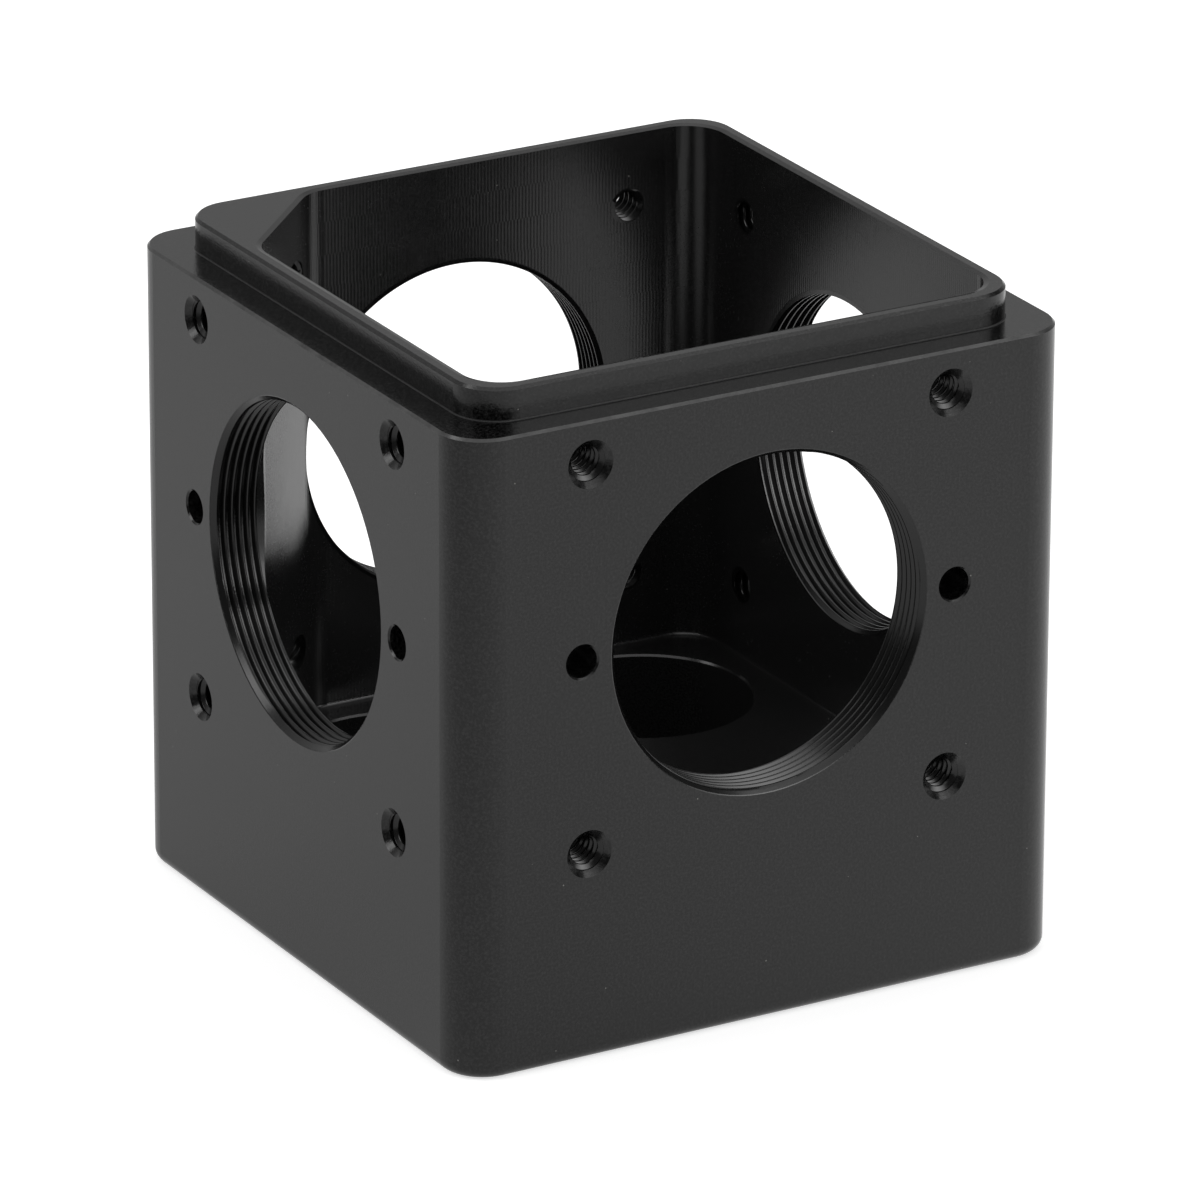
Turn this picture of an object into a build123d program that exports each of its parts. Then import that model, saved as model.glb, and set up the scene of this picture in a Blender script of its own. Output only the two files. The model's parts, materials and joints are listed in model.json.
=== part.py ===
"""Open-topped optical cage cube: one block of aluminium, milled and tapped.

The block stands on its underside at z = 0, with its axis on Z. The front is
-Y, the left side is -X. Four equal ports face -Y, +X, +Y and -X. Lengths are
in millimetres.
"""

import os

from build123d import *

# Outside of the block: the shoulder is the flat step round the rim's foot
cube_width = 50.8
cube_corner_radius = 3.5
shoulder_over_port = 18.29
base_edge_radius = 1.0
shoulder_edge_break = 0.2

# Raised rim round the open top
shoulder_width = 2.65
rim_height = 2.54
rim_corner_radius = 3.5
rim_outer_break = 0.22
rim_inner_break_across = 0.4
rim_inner_break_down = 0.11
rim_foot_radius = 0.12

# Pocket milled from the top, with its left back corner left solid
rim_wall = 1.25
pocket_corner_radius = 3.175
pocket_floor_radius = 0.35
key_corner_leg = 9.0
floor_thickness = 10.4

# Round seats sunk in the pocket's floor, placed from its side and back walls
seat_radius = 8.4
seat_from_side = 10.6
right_seat_from_back = 9.95
left_seat_from_back = 11.1
seat_depth = 7.0
seat_lip = 0.15

# Threaded port in each side, at the thread's major radius
port_height = 31.24
port_radius = 13.195
port_lip_across = 0.07
port_lip_down = 0.035

# Four tapped cage rod holes round each port
cage_spacing = 30.0
cage_hole_radius = 1.4225
cage_hole_reach = 9.0
cage_countersink = 0.42

# Two plain dowel holes beside each port
dowel_spacing = 31.24
dowel_radius = 1.25
dowel_depth = 3.0
dowel_lip = 0.13

shoulder_height = port_height + shoulder_over_port
top_height = shoulder_height + rim_height
cube_half = cube_width / 2
rim_width = cube_width - 2 * shoulder_width
pocket_half = rim_width / 2 - rim_wall


def plate(width, radius, low, high):
    """A square plate with rounded corners, from one height to another."""
    outline = RectangleRounded(width, width, radius)
    return Pos(0, 0, low) * extrude(outline, high - low)


def block():
    """The outer body: the cube and the narrower rim that stands on it."""
    body = plate(cube_width, cube_corner_radius, 0, shoulder_height)
    body = chamfer(body.faces().sort_by(Axis.Z)[-1].edges(), shoulder_edge_break)
    body = fillet(body.faces().sort_by(Axis.Z)[0].edges(), base_edge_radius)
    rim = plate(rim_width, rim_corner_radius, floor_thickness, top_height)
    rim = chamfer(rim.faces().sort_by(Axis.Z)[-1].edges(), rim_outer_break)
    body = body + rim
    shoulder = body.faces().filter_by(Axis.Z).sort_by(Axis.Z)[-2]
    return fillet(shoulder.inner_wires()[0].edges(), rim_foot_radius)


def pocket_outline():
    """The pocket in plan: a rounded square with its left back corner cut at 45 degrees."""
    cut = pocket_half - key_corner_leg
    corners = [
        (-pocket_half, -pocket_half),
        (pocket_half, -pocket_half),
        (pocket_half, pocket_half),
        (-cut, pocket_half),
        (-pocket_half, cut),
    ]
    outline = make_face(Polyline(*corners, close=True))
    return fillet(outline.vertices(), pocket_corner_radius)


def pocket():
    """What the pocket's milling takes away: the end mill rounds the foot of its walls."""
    cut = Pos(0, 0, floor_thickness) * extrude(pocket_outline(), top_height - floor_thickness)
    return fillet(cut.faces().sort_by(Axis.Z)[0].edges(), pocket_floor_radius)


def drilled(radius, depth, across, down):
    """What a drill takes away at the origin, going down from z = 0, with a bevelled lip."""
    hole = Pos(0, 0, -depth / 2) * Cylinder(radius, depth)
    return hole + Pos(0, 0, -down / 2) * Cone(radius, radius + across, down)


def on_side(turn, across, height):
    """The place of a hole in a side wall: turn 0 is the front, then right, back and left."""
    return Rot(0, 0, 90 * turn) * Pos(across, -cube_half, height) * Rot(90, 0, 0)


def side_cuts(turn):
    """The port, its four cage rod holes and its two dowel holes, for one side."""
    port = drilled(port_radius, cube_half, port_lip_across, port_lip_down)
    rod_hole = drilled(cage_hole_radius, cage_hole_reach, cage_countersink, cage_countersink)
    dowel_hole = drilled(dowel_radius, dowel_depth, dowel_lip, dowel_lip)
    cuts = [on_side(turn, 0, port_height) * port]
    for across in (-cage_spacing / 2, cage_spacing / 2):
        for up in (-cage_spacing / 2, cage_spacing / 2):
            cuts.append(on_side(turn, across, port_height + up) * rod_hole)
    for across in (-dowel_spacing / 2, dowel_spacing / 2):
        cuts.append(on_side(turn, across, port_height) * dowel_hole)
    return cuts


def floor_cuts():
    """The two round seats in the pocket's floor."""
    seat = drilled(seat_radius, seat_depth, seat_lip, seat_lip)
    out = pocket_half - seat_from_side
    left = Pos(-out, pocket_half - left_seat_from_back, floor_thickness)
    right = Pos(out, pocket_half - right_seat_from_back, floor_thickness)
    return [left * seat, right * seat]


def cube_housing():
    """The whole housing: block, less pocket, less every hole."""
    body = block() - pocket()
    top = body.faces().sort_by(Axis.Z)[-1]
    mouth = top.inner_wires()[0].edges()
    body = chamfer(mouth, rim_inner_break_across, rim_inner_break_down, reference=top)
    for turn in range(4):
        body = body - side_cuts(turn)
    body = body - floor_cuts()
    return body.solid()


os.makedirs("parts", exist_ok=True)
housing = cube_housing()
housing.label = "cube_housing"
export_step(housing, "parts/cube_housing.step")
print("cube_housing", round(housing.volume), "mm3", housing.bounding_box().size)
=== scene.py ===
"""Optical cage cube in black anodised aluminium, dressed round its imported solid.

The housing's solid keeps its place and gets its finish. The fine threads of the ports
and of the cage rod holes are new pieces, cut as helices and seated in the solid's walls.
"""

import json
import math

import bmesh
import bpy
import numpy as np
from bpy.props import FloatProperty, IntProperty, PointerProperty, StringProperty
from mathutils import Matrix, Vector


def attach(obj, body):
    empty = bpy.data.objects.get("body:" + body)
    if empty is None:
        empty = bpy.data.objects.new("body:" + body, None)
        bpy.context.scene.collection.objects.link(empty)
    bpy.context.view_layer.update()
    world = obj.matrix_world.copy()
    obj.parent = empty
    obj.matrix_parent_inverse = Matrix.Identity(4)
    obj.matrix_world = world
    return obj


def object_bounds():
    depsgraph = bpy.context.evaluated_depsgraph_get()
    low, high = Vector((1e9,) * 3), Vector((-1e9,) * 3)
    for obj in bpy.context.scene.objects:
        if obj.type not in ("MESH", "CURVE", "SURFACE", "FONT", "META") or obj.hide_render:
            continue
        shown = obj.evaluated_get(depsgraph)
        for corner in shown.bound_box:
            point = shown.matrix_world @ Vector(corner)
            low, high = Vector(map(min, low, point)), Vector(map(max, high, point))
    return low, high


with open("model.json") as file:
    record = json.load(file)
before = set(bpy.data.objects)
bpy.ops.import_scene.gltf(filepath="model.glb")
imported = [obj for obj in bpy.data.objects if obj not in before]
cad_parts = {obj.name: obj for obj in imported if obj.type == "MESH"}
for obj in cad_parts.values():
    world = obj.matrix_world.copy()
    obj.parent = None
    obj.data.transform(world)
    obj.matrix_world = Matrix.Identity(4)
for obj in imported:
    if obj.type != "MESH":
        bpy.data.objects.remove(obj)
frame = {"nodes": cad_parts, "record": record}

bl_info = {
    "name": "Optical cage cube",
    "version": (1, 0, 0),
    "blender": (4, 5, 0),
    "location": "3D View > Sidebar > Cage Cube",
    "description": "Threads, anodised finish and studio for an optical cage cube",
    "category": "Object",
}

MM = 0.001
CAD_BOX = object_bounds()
MOUNTS = {mount["name"]: mount for mount in frame["record"]["mounts"]}
HOUSING = "cube_housing"
UP = Vector((0, 0, 1))

# Depth of each port's first thread crest where its thread starts, in mm
FIRST_CREST = {"front": 0.83, "right": 0.7, "back": 0.62, "left": 0.66}

# Meshing of the threads: points closer than this are one, shorter edges go, and edges
# sharper than this angle stay crisp
WELD = 0.0005 * MM
SLIVER = 0.0004 * MM
SHARP = math.radians(40)

# From the cube towards the key softbox, the left softbox and the far wall's middle
KEY_WAY = Vector((0.468, -0.749, 0.469)).normalized()
LEFT_WAY = Vector((-0.754, 0.188, 0.629)).normalized()
FAR_WAY = Vector((0.174, 0.985, 0.0)).normalized()

# Where the right and the top of the photograph's frame point
LENS_RIGHT = Vector((0.86771287, -0.4970531, 0.00354984))
LENS_UP = Vector((0.17920112, 0.31947941, 0.93049442))


class ThreadSizes(bpy.types.PropertyGroup):
    """The fine threads in the ports and in the cage rod holes."""

    pitch: FloatProperty(
        name="Pitch", description="From one thread crest to the next, 40 to the inch",
        default=0.635 * MM, min=0.1 * MM, unit="LENGTH",
    )
    crest_flat: FloatProperty(
        name="Crest flat", description="Width of a ridge's flat top, a share of the pitch",
        default=0.2, min=0.02, max=0.5, subtype="FACTOR",
    )
    flank: FloatProperty(
        name="Flank", description="Width of each sloping flank, a share of the pitch",
        default=0.33, min=0.05, max=0.4, subtype="FACTOR",
    )
    crest_ease: FloatProperty(
        name="Crest ease", description="Reach of the crest's rounded edges, a share of the pitch",
        default=0.05, min=0.0, max=0.1, subtype="FACTOR",
    )
    root_ease: FloatProperty(
        name="Root ease", description="The same at the root", default=0.035, min=0.0, max=0.1,
        subtype="FACTOR",
    )
    sink: FloatProperty(
        name="Sink", description="How far a ridge's foot is sunk in the hole's wall",
        default=0.02 * MM, min=0.0, unit="LENGTH",
    )
    port_ridge: FloatProperty(
        name="Port ridge", description="Height of the port thread above its root",
        default=0.345 * MM, unit="LENGTH",
    )
    run_in: FloatProperty(
        name="Run-in", description="Share of a turn over which the first groove opens",
        default=0.04, min=0.01, max=0.2, subtype="FACTOR",
    )
    seam: FloatProperty(
        name="Seam", description="Angle round the port at which the thread starts",
        default=math.radians(60), subtype="ANGLE",
    )
    hole_ridge: FloatProperty(
        name="Hole ridge", description="Height of the cage hole thread above its root",
        default=0.37 * MM, unit="LENGTH",
    )
    hole_entry: FloatProperty(
        name="Hole entry", description="Depth of the countersink at which the hole thread starts",
        default=0.45 * MM, unit="LENGTH",
    )
    hole_length: FloatProperty(
        name="Hole thread end", description="Depth at which the thread ends in the thin walls",
        default=3.89 * MM, unit="LENGTH",
    )
    deep_hole_length: FloatProperty(
        name="Deep hole thread end", description="The same in the walls at the filled corner",
        default=4.9 * MM, unit="LENGTH",
    )
    port_columns: IntProperty(
        name="Port columns", description="Steps round the port", default=240, min=24,
    )
    hole_columns: IntProperty(
        name="Hole columns", description="Steps round a cage hole", default=56, min=12,
    )
    hole_first_crest: FloatProperty(
        name="Hole first crest", description="Depth of the hole thread's first crest at its start",
        default=0.7 * MM, unit="LENGTH",
    )


class FinishSizes(bpy.types.PropertyGroup):
    """The anodised finish and the marks that the cutters left under it."""

    colour: StringProperty(
        name="Film colour", description="Colour of the dyed film, as sRGB hex", default="#0f0f0f",
    )
    thread_colour: StringProperty(
        name="Thread colour", description="Colour of the film in the threads, as sRGB hex",
        default="#0c0c0c",
    )
    # Painted highlight: the pale colour laid along the shoulder's broken edge
    edge_highlight_colour: StringProperty(
        name="Edge highlight colour", description="Colour of the painted highlight on the shoulder's edge",
        default="#464646",
    )
    dust_colour: StringProperty(
        name="Dust colour", description="Colour of the dust specks", default="#6f6e6b",
    )
    roughness: FloatProperty(
        name="Roughness", description="Roughness of the sealed film", default=0.17,
        subtype="FACTOR",
    )
    mottle: FloatProperty(
        name="Mottle", description="Width of the film's duller clouds, in mm", default=9.0,
    )
    mottle_rough: FloatProperty(
        name="Mottle roughness", description="How much those clouds change it", default=0.08,
    )
    grain: FloatProperty(
        name="Grain", description="Width of the etched grain, in mm", default=0.2,
    )
    thread_roughness: FloatProperty(
        name="Thread roughness", description="Roughness of the film in the threads",
        default=0.18, subtype="FACTOR",
    )
    thread_grain: FloatProperty(
        name="Thread grain", description="How much the grain changes that roughness",
        default=0.1,
    )
    grain_rough: FloatProperty(
        name="Grain roughness", description="How much the grain changes the roughness",
        default=0.12,
    )
    grain_depth: FloatProperty(
        name="Grain depth", description="Depth of the etched grain", default=0.01 * MM,
        unit="LENGTH",
    )
    cut_grain: FloatProperty(
        name="Cut grain", description="Share of that depth in the pocket and in the threads",
        default=0.3, subtype="FACTOR",
    )
    grain_contrast: FloatProperty(
        name="Grain contrast", description="How much the etch changes the tone outside",
        default=12.0,
    )
    pocket_contrast: FloatProperty(
        name="Pocket contrast", description="The same in the pocket", default=2.5,
    )
    # Painted light: how much lighter the pocket's colour grows towards its floor
    painted_pocket_light: FloatProperty(
        name="Painted pocket light", description="How much painted light brightens the pocket towards its floor",
        default=2.0,
    )
    chatter: FloatProperty(
        name="Chatter", description="Spacing of the end mill's upright marks, in mm",
        default=0.285,
    )
    chatter_depth: FloatProperty(
        name="Chatter depth", description="Depth of those marks", default=0.0022 * MM,
        unit="LENGTH",
    )
    chatter_patch: FloatProperty(
        name="Chatter patch", description="Width of the places where they are strong, in mm",
        default=4.5,
    )
    pass_height: FloatProperty(
        name="Pass height", description="Height of one pass down the pocket's walls, in mm",
        default=2.6,
    )
    pass_shift: FloatProperty(
        name="Pass shift", description="How far the marks shift between passes, in spacings",
        default=0.6,
    )
    streak_width: FloatProperty(
        name="Streak width", description="Width of the pocket walls' upright streaks, in mm",
        default=0.35,
    )
    streak_length: FloatProperty(
        name="Streak length", description="Their length, in mm", default=9.0,
    )
    streak_depth: FloatProperty(
        name="Streak depth", description="Their depth", default=0.0035 * MM, unit="LENGTH",
    )
    wall_rough: FloatProperty(
        name="Wall roughness", description="Roughness that milling adds to the pocket's walls",
        default=0.08,
    )
    line_width: FloatProperty(
        name="Line width", description="Width of the lines along the rim's outer wall, in mm",
        default=0.22,
    )
    line_length: FloatProperty(
        name="Line length", description="Their length, in mm", default=12.0,
    )
    line_depth: FloatProperty(
        name="Line depth", description="Their depth", default=0.0035 * MM, unit="LENGTH",
    )
    matt_foot: FloatProperty(
        name="Matt foot", description="Roughness that blasting adds in the rim's foot",
        default=0.45,
    )
    # Painted highlight: length of its pieces along the shoulder's edge
    highlight_piece: FloatProperty(
        name="Highlight piece", description="Length of the painted highlight's pieces on the edge, in mm",
        default=2.0,
    )
    dust_cell: FloatProperty(
        name="Dust spacing", description="Mean spacing of the dust specks, in mm", default=1.9,
    )
    dust_reach: FloatProperty(
        name="Dust size", description="Reach of the largest speck, a share of the spacing",
        default=0.035, subtype="FACTOR",
    )


class StageSizes(bpy.types.PropertyGroup):
    """Camera, floor and light."""

    focal_length: FloatProperty(
        name="Focal length", description="Focal length on a 36 mm sensor, in mm", default=306.06,
    )
    camera_height: FloatProperty(
        name="Camera height", description="Height of the lens above the floor",
        default=302.446 * MM, unit="LENGTH",
    )
    camera_left: FloatProperty(
        name="Camera left", description="How far left of the cube's axis the lens is",
        default=351.775 * MM, unit="LENGTH",
    )
    camera_front: FloatProperty(
        name="Camera front", description="How far in front of the cube's axis the lens is",
        default=612.791 * MM, unit="LENGTH",
    )
    floor_colour: StringProperty(
        name="Floor colour", description="Colour of the paper sweep, as sRGB hex",
        default="#efefef",
    )
    floor_glow: FloatProperty(
        name="Floor glow", description="Light added to the paper where the lens sees it",
        default=0.6, min=0.0, max=1.0,
    )
    # Painted light and shade of the paper's glow in reflections
    bright_way: FloatProperty(
        name="Bright way", description="Compass angle of the paper's brightest side, from +X",
        default=0.0, subtype="ANGLE",
    )
    paper_mean: FloatProperty(
        name="Paper mean", description="Mean level of the paper in reflections", default=0.8,
    )
    paper_swing: FloatProperty(
        name="Paper swing", description="How much brighter its bright side is", default=0.215,
    )
    wall_dark: FloatProperty(
        name="Wall dark", description="Level of the walls by the lens and on the left",
        default=0.1,
    )
    wall_bright: FloatProperty(
        name="Wall bright", description="Level that the far wall adds", default=0.38,
    )
    ceiling: FloatProperty(
        name="Ceiling", description="Level that the ceiling adds", default=1.0,
    )
    key_glow: FloatProperty(
        name="Key glow", description="Level that the key's diffuser adds at its middle",
        default=4.1,
    )
    key_spread: FloatProperty(
        name="Key spread", description="How far the diffuser's light falls off to its edge",
        default=math.radians(18.5), subtype="ANGLE",
    )
    left_glow: FloatProperty(
        name="Left glow", description="The same for the left softbox", default=1.3,
    )
    left_spread: FloatProperty(
        name="Left spread", description="The same for the left softbox",
        default=math.radians(9), subtype="ANGLE",
    )
    ambient: FloatProperty(
        name="Ambient", description="Level of the studio's walls as a light", default=0.6,
    )
    paper_share: FloatProperty(
        name="Paper share", description="Share of the lamps' light on the paper in reflections",
        default=0.2, subtype="FACTOR",
    )
    paper_left_fade: FloatProperty(
        name="Paper left fade", description="Share of its level that the paper's far left keeps",
        default=0.35, subtype="FACTOR",
    )
    key_distance: FloatProperty(
        name="Key distance", description="From the cube to the key softbox", default=1.0,
        unit="LENGTH",
    )
    key_size: FloatProperty(
        name="Key size", description="Side of the key softbox", default=0.9, unit="LENGTH",
    )
    left_distance: FloatProperty(
        name="Left distance", description="From the cube to the left softbox", default=1.2,
        unit="LENGTH",
    )
    left_size: FloatProperty(
        name="Left size", description="Side of the left softbox", default=0.7, unit="LENGTH",
    )
    floor_size: FloatProperty(
        name="Floor size", description="Side of the paper floor", default=6.0, unit="LENGTH",
    )
    key_level: FloatProperty(
        name="Key level", description="Share of white that the key softbox gives", default=0.2,
    )
    left_level: FloatProperty(
        name="Left level", description="Share of white that the left softbox gives", default=0.2,
    )


def linear(code, alpha=1.0):
    """An sRGB hex colour as linear red, green, blue and alpha."""
    shares = [int(code[i : i + 2], 16) / 255 for i in (1, 3, 5)]
    low = [s / 12.92 for s in shares]
    high = [((s + 0.055) / 1.055) ** 2.4 for s in shares]
    return (*[a if s <= 0.04045 else b for s, a, b in zip(shares, low, high)], alpha)


def put(tree, kind, inputs=(), output=None, **settings):
    """Adds a node of that kind with its settings. Its inputs, in order or by name, are values
    or linked sockets. Gives the node, or the socket of the output that is asked for."""
    node = tree.nodes.new("ShaderNode" + kind)
    for name, value in settings.items():
        setattr(node, name, value)
    pairs = inputs.items() if isinstance(inputs, dict) else enumerate(inputs)
    for key, value in pairs:
        if isinstance(value, bpy.types.NodeSocket):
            tree.links.new(value, node.inputs[key])
        else:
            node.inputs[key].default_value = value
    return node if output is None else node.outputs[output]


def start_material(name):
    """An empty node material and its tree."""
    material = bpy.data.materials.new(name)
    material.use_nodes = True
    material.node_tree.nodes.clear()
    return material, material.node_tree


def in_mm(tree):
    """The place on the surface in millimetres, in the housing's own frame."""
    place = put(tree, "TexCoord", output="Object")
    return put(tree, "VectorMath", {0: place, "Scale": 1 / MM}, 0, operation="SCALE")


def housing_areas(tree, place):
    """Masks of the housing's areas, 1 on them and 0 elsewhere, found from a point's place and
    from how far its surface faces up: the pocket, the outside, the pocket's walls, the rim's
    outer wall, the round at the rim's foot and the shoulder's broken edge. Another share
    goes from 0 at the shoulder's height to 1 on the pocket's floor.
    """
    port, seat = MOUNTS["port_right"], MOUNTS["floor_seat_right"]
    pocket_half = port["pos_m"][0] / MM - port["dims"]["length_mm"] / 2
    floor = seat["pos_m"][2] / MM + seat["dims"]["length_mm"] / 2
    shoulder = MOUNTS["lid_seat"]["pos_m"][2] / MM

    # In mm: how far past a wall or a height an area reaches, and the middle and half the
    # height of the two narrow bands that lie by the shoulder
    past_wall, past_floor, past_foot = 0.06, 0.05, 0.16
    foot_middle, foot_half = 0.08, 0.075
    edge_middle, edge_half = -0.1, 0.11
    # How far up a surface faces: 0 is upright and 1 is level
    nearly_upright, half_way, either_side = 0.3, 0.5, 0.45

    x, y, z = put(tree, "SeparateXYZ", (place,)).outputs
    up = put(tree, "SeparateXYZ", (put(tree, "TexCoord", output="Normal"),), "Z")
    reach_x = put(tree, "Math", (x,), 0, operation="ABSOLUTE")
    reach_y = put(tree, "Math", (y,), 0, operation="ABSOLUTE")
    reach = put(tree, "Math", (reach_x, reach_y), 0, operation="MAXIMUM")
    pocket = put(tree, "Math", (reach, pocket_half + past_wall), 0, operation="LESS_THAN")
    outside = put(tree, "Math", (1.0, pocket), 0, operation="SUBTRACT")
    level = put(tree, "Math", (up,), 0, operation="ABSOLUTE")
    upright = put(tree, "Math", (level, nearly_upright), 0, operation="LESS_THAN")
    slant = put(tree, "Math", (up, half_way, either_side), 0, operation="COMPARE")
    over_floor = put(tree, "Math", (z, floor + past_floor), 0, operation="GREATER_THAN")
    over_foot = put(tree, "Math", (z, shoulder + past_foot), 0, operation="GREATER_THAN")
    at_foot = put(
        tree, "Math", (z, shoulder + foot_middle, foot_half), 0, operation="COMPARE"
    )
    at_edge = put(
        tree, "Math", (z, shoulder + edge_middle, edge_half), 0, operation="COMPARE"
    )
    depth = put(tree, "MapRange", (z, shoulder, floor, 0.0, 1.0), 0)

    areas = {"pocket": pocket, "outside": outside}
    for name, masks in {
        "walls": (pocket, upright, over_floor),
        "rim_wall": (outside, upright, over_foot),
        "foot": (outside, slant, at_foot),
        "edge": (outside, slant, at_edge),
        "depth": (pocket, depth),
    }.items():
        area = masks[0]
        for mask in masks[1:]:
            area = put(tree, "Math", (area, mask), 0, operation="MULTIPLY")
        areas[name] = area
    return areas


def cutter_marks(tree, sizes, place, areas):
    """Height of the marks that the cutters left, in metres.

    On the pocket's walls: chatter, a sine along the wall that starts anew in each pass and
    is stronger in patches, and longer upright streaks. On the rim's outer wall: lines that
    run along it.
    """
    x, y, z = put(tree, "SeparateXYZ", (place,)).outputs
    along = put(tree, "Math", (x, y), 0, operation="ADD")

    passes = put(tree, "Math", (z, sizes.pass_height), 0, operation="DIVIDE")
    cut = put(tree, "Math", (passes,), 0, operation="FLOOR")
    start = put(tree, "TexWhiteNoise", {"W": cut}, "Value", noise_dimensions="1D")
    start = put(tree, "Math", (start, sizes.pass_shift), 0, operation="MULTIPLY")
    turns = put(tree, "Math", (along, sizes.chatter), 0, operation="DIVIDE")
    turns = put(tree, "Math", (turns, start), 0, operation="ADD")
    angle = put(tree, "Math", (turns, 2 * math.pi), 0, operation="MULTIPLY")
    wave = put(tree, "Math", (angle,), 0, operation="SINE")
    patch = put(
        tree, "TexNoise",
        {"Vector": place, "Scale": 1 / sizes.chatter_patch, "Detail": 3.0, "Roughness": 0.65}, 0,
    )
    strong = put(tree, "MapRange", (patch, 0.3, 0.7, 0.3, 1.0), 0)
    chatter = put(tree, "Math", (wave, strong), 0, operation="MULTIPLY")

    marks = []
    for width, height in (
        (sizes.streak_width, sizes.streak_length), (sizes.line_length, sizes.line_width),
    ):
        wide = put(tree, "Math", (along, width), 0, operation="DIVIDE")
        high = put(tree, "Math", (z, height), 0, operation="DIVIDE")
        stretched = put(tree, "CombineXYZ", (wide, high), 0)
        marks.append(put(
            tree, "TexNoise",
            {"Vector": stretched, "Scale": 1.0, "Detail": 3.0, "Roughness": 0.6}, 0,
        ))
    streak, line = marks

    on_walls = put(tree, "Math", (streak, sizes.streak_depth), 0, operation="MULTIPLY")
    on_walls = put(
        tree, "Math", (chatter, sizes.chatter_depth, on_walls), 0, operation="MULTIPLY_ADD"
    )
    on_rim = put(tree, "Math", (line, areas["rim_wall"]), 0, operation="MULTIPLY")
    on_rim = put(tree, "Math", (on_rim, sizes.line_depth), 0, operation="MULTIPLY")
    return put(tree, "Math", (on_walls, areas["walls"], on_rim), 0, operation="MULTIPLY_ADD")


def film_colour(tree, sizes, place, areas, grain):
    """Colour of the dyed film: the etch's grain makes it lighter and darker by contrast x (grain -
    0.5), painted light makes the pocket lighter towards its floor, a painted highlight lies along
    the shoulder's edge in short lengths, and a pale dust speck lies in the middle of some cells."""
    darkest = 0.1
    contrast = put(
        tree, "MapRange",
        (areas["outside"], 0.0, 1.0, sizes.pocket_contrast, sizes.grain_contrast), 0,
    )
    shade = put(tree, "Math", (grain, 0.5), 0, operation="SUBTRACT")
    shade = put(tree, "Math", (shade, contrast, 1.0), 0, operation="MULTIPLY_ADD")
    shade = put(tree, "Math", (shade, darkest), 0, operation="MAXIMUM")
    # Painted light: the colour grows lighter from the shoulder's height down to the pocket's floor
    shade = put(
        tree, "Math", (areas["depth"], sizes.painted_pocket_light, shade), 0, operation="MULTIPLY_ADD"
    )
    film = linear(sizes.colour)[:3]
    colour = put(tree, "VectorMath", {0: film, "Scale": shade}, 0, operation="SCALE")

    # Painted highlight: a pale colour in short pieces along the shoulder's broken edge, in place
    # of the bright line that its reflection gives
    highlight_breaks = put(
        tree, "TexNoise",
        {"Vector": place, "Scale": 1 / sizes.highlight_piece, "Detail": 3.0, "Roughness": 0.7}, 0,
    )
    highlight_breaks = put(tree, "MapRange", (highlight_breaks, 0.35, 0.65, 0.4, 1.0), 0)
    painted_highlight = put(tree, "Math", (highlight_breaks, areas["edge"]), 0, operation="MULTIPLY")

    cells = put(
        tree, "TexVoronoi", {"Vector": place, "Scale": 1 / sizes.dust_cell}, feature="F1"
    ).outputs
    chosen = put(tree, "SeparateColor", (cells["Color"],), "Red")
    dot = put(tree, "Math", (chosen, sizes.dust_reach), 0, operation="MULTIPLY")
    speck = put(tree, "Math", (cells["Distance"], dot), 0, operation="LESS_THAN")

    for share, pale in ((painted_highlight, sizes.edge_highlight_colour), (speck, sizes.dust_colour)):
        colour = put(
            tree, "Mix", {"Factor": share, "A": colour, "B": linear(pale)}, "Result",
            data_type="RGBA",
        )
    return colour


def anodised_housing(sizes):
    """Milled aluminium, etched and dyed black in an oxide film, sealed to a satin gloss.

    The film is a clear dielectric over a dark dye, so faces seen at a slant mirror the
    white studio and those seen squarely go nearly black. Its IOR stays at the default 1.5,
    a little under a sealed oxide film's. The etch leaves an even fine grain. The real one
    is finer than a pixel, so it is drawn coarser here, as coarse as it needs to show.
    Inside the pocket the end mill's upright chatter shows through the film.
    """
    material, tree = start_material("black_anodised_milled_aluminium")
    place = in_mm(tree)
    areas = housing_areas(tree, place)
    grain = put(
        tree, "TexNoise",
        {"Vector": place, "Scale": 1 / sizes.grain, "Detail": 3.0, "Roughness": 0.6}, 0,
    )
    mottle = put(
        tree, "TexNoise",
        {"Vector": place, "Scale": 1 / sizes.mottle, "Detail": 4.0, "Roughness": 0.6}, 0,
    )

    # The etch shows on the outside; in the pocket the cutter's marks take its place
    etched = put(
        tree, "MapRange",
        (areas["outside"], 0.0, 1.0, sizes.grain_depth * sizes.cut_grain, sizes.grain_depth), 0,
    )
    marks = cutter_marks(tree, sizes, place, areas)
    height = put(tree, "Math", (grain, etched, marks), 0, operation="MULTIPLY_ADD")
    bump = put(tree, "Bump", {"Height": height, "Distance": 1.0, "Strength": 1.0}, 0)

    rough = sizes.roughness
    for varied, middle, share in (
        (mottle, 0.5, sizes.mottle_rough), (grain, 0.5, sizes.grain_rough),
        (areas["foot"], 0.0, sizes.matt_foot), (areas["walls"], 0.0, sizes.wall_rough),
    ):
        change = put(tree, "Math", (varied, middle), 0, operation="SUBTRACT")
        rough = put(tree, "Math", (change, share, rough), 0, operation="MULTIPLY_ADD")

    colour = film_colour(tree, sizes, place, areas, grain)
    shader = put(
        tree, "BsdfPrincipled", {"Base Color": colour, "Roughness": rough, "Normal": bump}, 0
    )
    put(tree, "OutputMaterial", {"Surface": shader})
    return material


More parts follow.
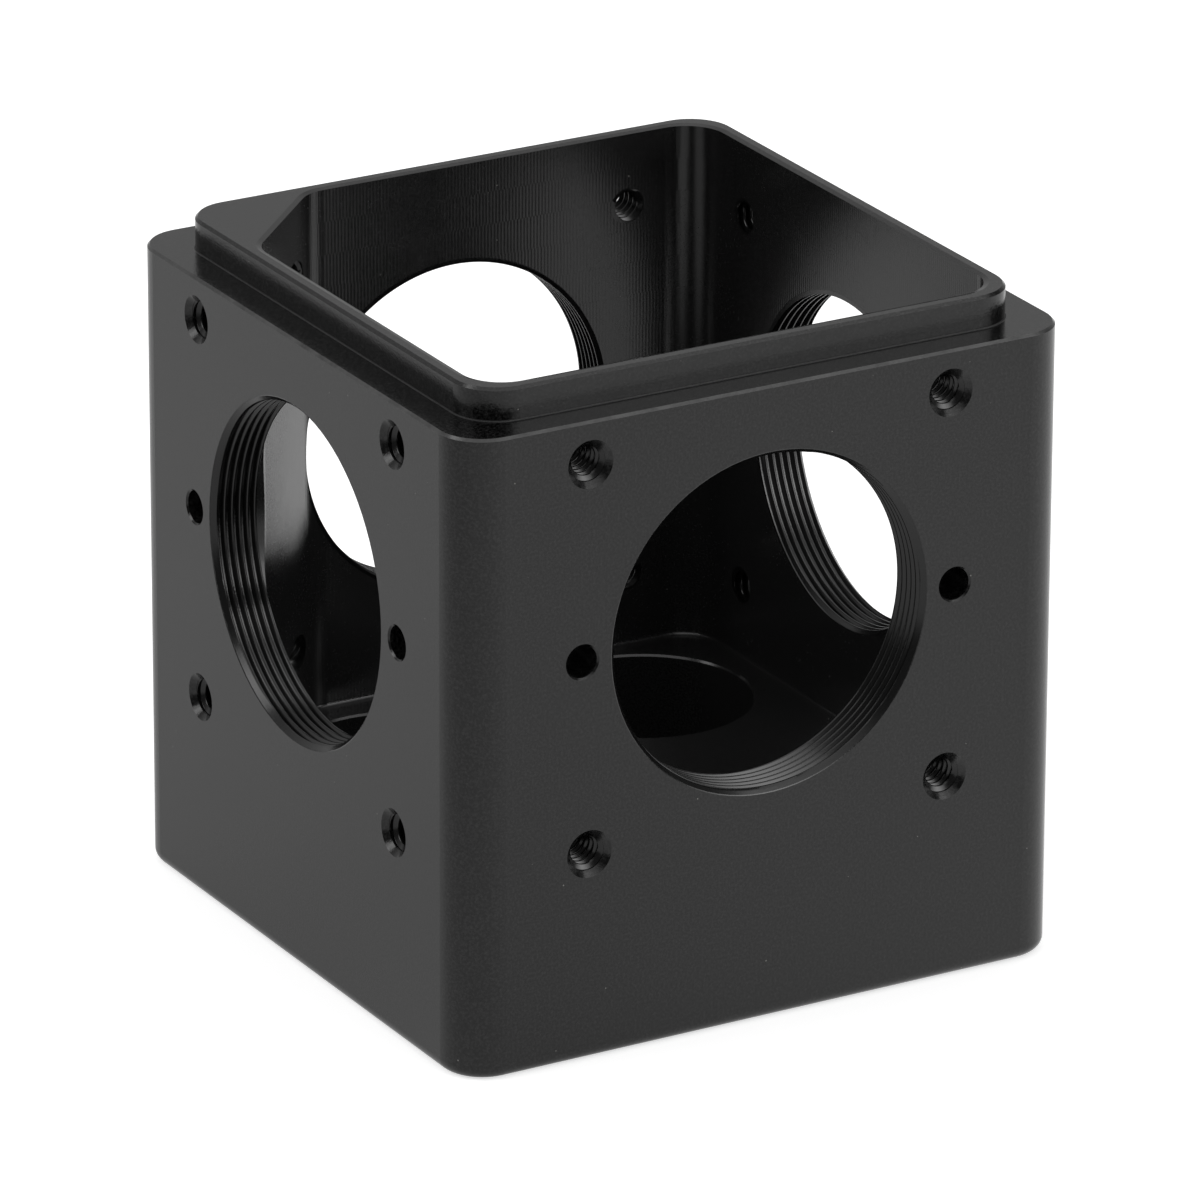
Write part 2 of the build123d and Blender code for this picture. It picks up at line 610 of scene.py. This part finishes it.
def anodised_thread(sizes):
    """A single-point cut thread under the same black film.

    The flanks are turned smoother than the milled faces, so each crest carries a thin
    bright line and the valleys between stay black.
    """
    material, tree = start_material("black_anodised_cut_thread")
    place = in_mm(tree)
    grain = put(tree, "TexNoise", {"Vector": place, "Scale": 1 / sizes.grain, "Detail": 2.0}, 0)
    change = put(tree, "Math", (grain, 0.5), 0, operation="SUBTRACT")
    rough = put(
        tree, "Math", (change, sizes.thread_grain, sizes.thread_roughness), 0,
        operation="MULTIPLY_ADD",
    )
    depth = sizes.grain_depth * sizes.cut_grain
    height = put(tree, "Math", (grain, depth), 0, operation="MULTIPLY")
    bump = put(tree, "Bump", {"Height": height, "Distance": 1.0, "Strength": 1.0}, 0)
    shader = put(
        tree, "BsdfPrincipled",
        {"Base Color": linear(sizes.thread_colour), "Roughness": rough, "Normal": bump}, 0,
    )
    put(tree, "OutputMaterial", {"Surface": shader})
    return material


def ridge_profile(sizes):
    """One pitch of thread as a line of (phase, height share): the root lies round phase 0 and
    the crest round 0.5, with straight flanks between and both their ends eased."""
    top = 0.5 - sizes.crest_flat / 2
    foot = top - sizes.flank
    rise = []
    for corner, ease, level, way in (
        (foot, sizes.root_ease, 0, 1), (top, sizes.crest_ease, 1, -1),
    ):
        slope = ease / sizes.flank
        shares = {-1: 0.0, 0: slope / 4, 1: slope}
        for step in (-1, 0, 1):
            rise.append((corner + step * ease, level + way * shares[step * way]))
    fall = [(1 - phase, share) for phase, share in reversed(rise)]
    return np.array(rise + fall)


def thread_points(sizes, wall, ridge, entry, length, columns, first_crest, seam, covered):
    """A ring of tapped thread as a grid of points (across, up, out) from the hole's mouth.

    Rows follow the helix: depth = first crest + pitch x (row's phase - 0.5 - share of a turn),
    clipped to the threaded length. Radius = wall + sink - (ridge + sink) x height share. It is
    no less than the lead-in cone, which closes at 45 degrees from the entry on. Where the port
    is covered, that cone runs on to the crest and hides the groove before the first crest.
    Two rows outside the wall's radius close the ring.
    """
    profile = ridge_profile(sizes)
    turn = np.linspace(0, 1, columns + 1)[None, :]
    start = first_crest / sizes.pitch - 0.5
    low = math.floor(entry / sizes.pitch - start) - 1
    high = math.ceil(length / sizes.pitch - start + 1)
    phase = (np.arange(low, high)[:, None] + profile[None, :, 0]).reshape(-1, 1)
    depth = np.clip((phase - turn + start) * sizes.pitch, entry, length)
    phase = depth / sizes.pitch + turn - start
    share = np.interp(phase % 1.0, profile[:, 0], profile[:, 1], period=1.0)
    if covered:
        edge = np.clip(np.minimum(turn, 1 - turn) / sizes.run_in, 0, 1)
        share = np.where(phase < 0.5, np.maximum(share, edge), share)
    outer = wall + sizes.sink
    radius = outer - (ridge + sizes.sink) * share
    radius = np.maximum(radius, wall - (depth - entry))
    lip = np.full((1, columns + 1), outer + sizes.sink)
    radius = np.vstack([lip, radius, lip])
    depth = np.vstack([lip * 0 + entry, depth, lip * 0 + length])
    angle = 2 * np.pi * turn + seam
    return np.stack([radius * np.cos(angle), radius * np.sin(angle), -depth], axis=-1)


def ring_faces(rows, columns, first):
    """Four-sided faces of a grid of points whose last row joins its first."""
    row = np.arange(rows)[:, None]
    column = np.arange(columns - 1)[None, :]
    after = (row + 1) % rows
    corners = [
        row * columns + column, row * columns + column + 1,
        after * columns + column + 1, after * columns + column,
    ]
    return np.stack([c + first for c in np.broadcast_arrays(*corners)], axis=-1).reshape(-1, 4)


def hole_frame(mount):
    """Directions of a hole in a side wall as rows: across, up and out."""
    out = Vector(mount["axis"])
    across = UP.cross(out)
    return np.array([across, UP, out])


def thread_piece(name, holes, material):
    """One mesh of one or more thread rings, which rides on the housing's body. Each hole is
    its grid of points, its directions and the place of its mouth."""
    points, faces, first = [], [], 0
    for grid, directions, mouth in holes:
        flat = grid.reshape(-1, 3)
        points.append(flat @ directions + np.array(mouth))
        faces.append(ring_faces(grid.shape[0], grid.shape[1], first))
        first += len(flat)
    mesh = bpy.data.meshes.new(name)
    mesh.from_pydata(np.vstack(points).tolist(), [], np.vstack(faces).tolist())
    work = bmesh.new()
    work.from_mesh(mesh)
    bmesh.ops.remove_doubles(work, verts=work.verts, dist=WELD)
    bmesh.ops.dissolve_degenerate(work, edges=work.edges, dist=SLIVER)
    bmesh.ops.recalc_face_normals(work, faces=work.faces)
    work.to_mesh(mesh)
    work.free()
    mesh.shade_smooth()
    mesh.set_sharp_from_angle(angle=SHARP)
    mesh.materials.append(material)
    piece = bpy.data.objects.new(name, mesh)
    bpy.context.scene.collection.objects.link(piece)
    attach(piece, "root")
    return piece


class CUBE_OT_finish(bpy.types.Operator):
    """Gives the housing its black anodised finish"""

    bl_idname = "cage_cube.finish"
    bl_label = "Finish the housing"

    def execute(self, context):
        material = anodised_housing(context.scene.cage_cube_finish)
        frame["nodes"][HOUSING].material_slots[0].material = material
        return {"FINISHED"}


class CUBE_OT_port_threads(bpy.types.Operator):
    """Cuts the fine thread in each side's port"""

    bl_idname = "cage_cube.port_threads"
    bl_label = "Cut the port threads"

    def execute(self, context):
        sizes = context.scene.cage_cube_threads
        material = anodised_thread(context.scene.cage_cube_finish)
        for side, first_crest in FIRST_CREST.items():
            mount = MOUNTS["port_" + side]
            wall = mount["dims"]["r_mm"] * MM
            length = mount["dims"]["length_mm"] * MM
            grid = thread_points(
                sizes, wall, sizes.port_ridge, 0.0, length, sizes.port_columns,
                first_crest * MM, sizes.seam, True,
            )
            mouth = Vector(mount["pos_m"]) + Vector(mount["axis"]) * length / 2
            hole = (grid, hole_frame(mount), mouth)
            thread_piece("port_thread_" + side, [hole], material)
        return {"FINISHED"}


class CUBE_OT_cage_threads(bpy.types.Operator):
    """Taps the four cage rod holes round each port"""

    bl_idname = "cage_cube.cage_threads"
    bl_label = "Tap the cage rod holes"

    def execute(self, context):
        sizes = context.scene.cage_cube_threads
        material = bpy.data.materials["black_anodised_cut_thread"]
        for side in FIRST_CREST:
            mount = MOUNTS["cage_holes_" + side]
            wall = mount["dims"]["hole_r_mm"] * MM
            half = mount["dims"]["spacing_x_mm"] * MM / 2
            directions = hole_frame(mount)
            holes = []
            for across in (-half, half):
                for up in (-half, half):
                    mouth = np.array(mount["pos_m"]) + across * directions[0] + up * directions[1]
                    at_filled_corner = mouth[0] < -half / 2 and mouth[1] > half / 2
                    end = sizes.deep_hole_length if at_filled_corner else sizes.hole_length
                    grid = thread_points(
                        sizes, wall, sizes.hole_ridge, sizes.hole_entry, end, sizes.hole_columns,
                        sizes.hole_first_crest, 0.0, False,
                    )
                    holes.append((grid, directions, mouth))
            thread_piece("cage_threads_" + side, holes, material)
        return {"FINISHED"}


def level_round(tree, way, bright_way, mean, swing):
    """Painted light and shade on the paper's glow, by compass direction: mean + swing x cosine of
    the angle from its bright side. The glow is painted brighter on that side, as on a paper lit
    from behind, and darker on the side by the lens."""
    flat = put(tree, "VectorMath", (way, (1, 1, 0)), 0, operation="MULTIPLY")
    unit = put(tree, "VectorMath", (flat,), 0, operation="NORMALIZE")
    bright = (math.cos(bright_way), math.sin(bright_way), 0)
    share = put(tree, "VectorMath", (unit, bright), "Value", operation="DOT_PRODUCT")
    return put(tree, "Math", (share, swing, mean), 0, operation="MULTIPLY_ADD")


def paper(sizes):
    """Matt white paper sweep: it keeps the cube's soft shadow and goes to white where nothing
    shades it. In reflections it shows a glow of its own with painted light and shade, brighter on
    its bright side and darker by the lens, and it falls off towards the far left."""
    material, tree = start_material("white_paper_sweep")
    ray = put(tree, "LightPath").outputs
    place = put(tree, "TexCoord", output="Object")
    # Painted light and shade: the paper's level in reflections swings round the compass and fades
    # on the far left
    mirrored = level_round(tree, place, sizes.bright_way, sizes.paper_mean, sizes.paper_swing)
    across = put(tree, "SeparateXYZ", (place,), "X")
    end, full = -0.35, -0.12  # metres, left of the cube's axis
    kept = put(tree, "MapRange", (across, end, full, sizes.paper_left_fade, 1.0), 0)
    mirrored = put(tree, "Math", (mirrored, kept), 0, operation="MULTIPLY")
    mirrored = put(tree, "Math", (mirrored, sizes.paper_share / 2), 0, operation="SUBTRACT")
    mirrored = put(tree, "Math", (ray["Is Glossy Ray"], mirrored), 0, operation="MULTIPLY")
    level = put(
        tree, "Math", (ray["Is Camera Ray"], sizes.floor_glow, mirrored), 0,
        operation="MULTIPLY_ADD",
    )
    share = put(
        tree, "Math", (ray["Is Glossy Ray"], sizes.paper_share - 1.0, 1.0), 0,
        operation="MULTIPLY_ADD",
    )
    white = linear(sizes.floor_colour)[:3]
    white = put(tree, "VectorMath", {0: white, "Scale": share}, 0, operation="SCALE")
    matt = put(tree, "BsdfDiffuse", {"Color": white}, 0)
    glow = put(tree, "Emission", {"Color": (1, 1, 1, 1), "Strength": level}, 0)
    both = put(tree, "AddShader", (matt, glow), 0)
    put(tree, "OutputMaterial", {"Surface": both})
    return material


def studio_world(sizes):
    """White studio walls: full white to the lens. In reflections the far wall and the
    ceiling are bright, the walls by the lens and on the left are dark, and the diffusers of
    the two softboxes glow and fall off softly to their edges: level x exp(2 (cosine of the
    angle from the middle - 1) / spread squared)."""
    world = bpy.data.worlds.new("white_studio")
    world.use_nodes = True
    tree = world.node_tree
    tree.nodes.clear()
    ray = put(tree, "LightPath").outputs
    way = put(tree, "TexCoord", output="Generated")
    mirrored = sizes.wall_dark
    for direction, low, high, level in (
        (FAR_WAY, 0.1, 0.75, sizes.wall_bright), (UP, 0.55, 0.95, sizes.ceiling),
    ):
        along = put(tree, "VectorMath", (way, direction), "Value", operation="DOT_PRODUCT")
        wall = put(
            tree, "MapRange", (along, low, high, 0.0, level), 0, interpolation_type="SMOOTHSTEP"
        )
        mirrored = put(tree, "Math", (wall, mirrored), 0, operation="ADD")
    for direction, level, spread in (
        (KEY_WAY, sizes.key_glow, sizes.key_spread),
        (LEFT_WAY, sizes.left_glow, sizes.left_spread),
    ):
        along = put(tree, "VectorMath", (way, direction), "Value", operation="DOT_PRODUCT")
        off = put(tree, "Math", (along, 1.0), 0, operation="SUBTRACT")
        off = put(tree, "Math", (off, 2 / spread**2), 0, operation="MULTIPLY")
        lobe = put(tree, "Math", (off,), 0, operation="EXPONENT")
        mirrored = put(tree, "Math", (lobe, level, mirrored), 0, operation="MULTIPLY_ADD")
    lit = put(
        tree, "Mix", {"Factor": ray["Is Glossy Ray"], "A": sizes.ambient, "B": mirrored},
        "Result", data_type="FLOAT",
    )
    seen = put(
        tree, "Math", (ray["Is Camera Ray"], ray["Is Transmission Ray"]), 0, operation="MAXIMUM"
    )
    strength = put(
        tree, "Mix", {"Factor": seen, "A": lit, "B": 1.0}, "Result", data_type="FLOAT"
    )
    shader = put(tree, "Background", {"Color": (1, 1, 1, 1), "Strength": strength}, 0)
    put(tree, "OutputWorld", {"Surface": shader})
    return world


def softbox(name, way, distance, size, level):
    """A square softbox that aims at the cube's middle from a direction. A white card that
    faces it there renders at that level: watts = level x (pi x distance)^2."""
    light = bpy.data.lights.new(name, "AREA")
    light.shape = "SQUARE"
    light.size = size
    light.energy = level * (math.pi * distance) ** 2
    lamp = bpy.data.objects.new(name, light)
    place = Vector((0, 0, CAD_BOX[1].z / 2)) + way * distance
    lamp.matrix_world = Matrix.LocRotScale(place, way.to_track_quat("Z", "Y"), None)
    bpy.context.scene.collection.objects.link(lamp)
    return lamp


class CUBE_OT_stage(bpy.types.Operator):
    """Sets the floor, the lights and the camera"""

    bl_idname = "cage_cube.stage"
    bl_label = "Set the stage"

    def execute(self, context):
        scene = context.scene
        sizes = scene.cage_cube_stage
        scene.view_settings.view_transform = "Standard"

        mesh = bpy.data.meshes.new("paper_floor")
        corners = np.array([[-1, -1, 0], [1, -1, 0], [1, 1, 0], [-1, 1, 0]])
        corners = corners * sizes.floor_size / 2
        mesh.from_pydata(corners.tolist(), [], [(0, 1, 2, 3)])
        mesh.materials.append(paper(sizes))
        floor = bpy.data.objects.new("paper_floor", mesh)
        scene.collection.objects.link(floor)

        scene.world = studio_world(sizes)
        softbox("softbox_key", KEY_WAY, sizes.key_distance, sizes.key_size, sizes.key_level)
        softbox(
            "softbox_left", LEFT_WAY, sizes.left_distance, sizes.left_size, sizes.left_level
        )

        lens = bpy.data.cameras.new("photo_camera")
        lens.sensor_width = 36.0
        lens.lens = sizes.focal_length
        lens.clip_start = 10 * MM
        lens.clip_end = 50.0
        camera = bpy.data.objects.new("photo_camera", lens)
        backwards = LENS_RIGHT.cross(LENS_UP)
        turn = Matrix((LENS_RIGHT, LENS_UP, backwards)).transposed().to_4x4()
        place = (-sizes.camera_left, -sizes.camera_front, sizes.camera_height)
        camera.matrix_world = Matrix.Translation(place) @ turn
        scene.collection.objects.link(camera)
        scene.camera = camera
        return {"FINISHED"}


class CUBE_PT_panel(bpy.types.Panel):
    """Lists the cube's steps and sizes"""

    bl_label = "Cage Cube"
    bl_idname = "CUBE_PT_panel"
    bl_space_type = "VIEW_3D"
    bl_region_type = "UI"
    bl_category = "Cage Cube"

    def draw(self, context):
        layout = self.layout
        for step in STEPS:
            layout.operator(step.bl_idname)
        for name in GROUPS:
            group = getattr(context.scene, name)
            box = layout.box()
            for key in group.bl_rna.properties.keys():
                if key not in ("rna_type", "name"):
                    box.prop(group, key)


STEPS = (CUBE_OT_finish, CUBE_OT_port_threads, CUBE_OT_cage_threads, CUBE_OT_stage)
GROUPS = {
    "cage_cube_threads": ThreadSizes,
    "cage_cube_finish": FinishSizes,
    "cage_cube_stage": StageSizes,
}


def register():
    for name, group in GROUPS.items():
        bpy.utils.register_class(group)
        setattr(bpy.types.Scene, name, PointerProperty(type=group))
    for step in (*STEPS, CUBE_PT_panel):
        bpy.utils.register_class(step)


def unregister():
    for step in (*STEPS, CUBE_PT_panel):
        bpy.utils.unregister_class(step)
    for name, group in GROUPS.items():
        delattr(bpy.types.Scene, name)
        bpy.utils.unregister_class(group)


def main():
    """Registers the add-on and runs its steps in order."""
    register()
    bpy.ops.cage_cube.finish()
    bpy.ops.cage_cube.port_threads()
    bpy.ops.cage_cube.cage_threads()
    bpy.ops.cage_cube.stage()


if __name__ == "__main__":
    main()
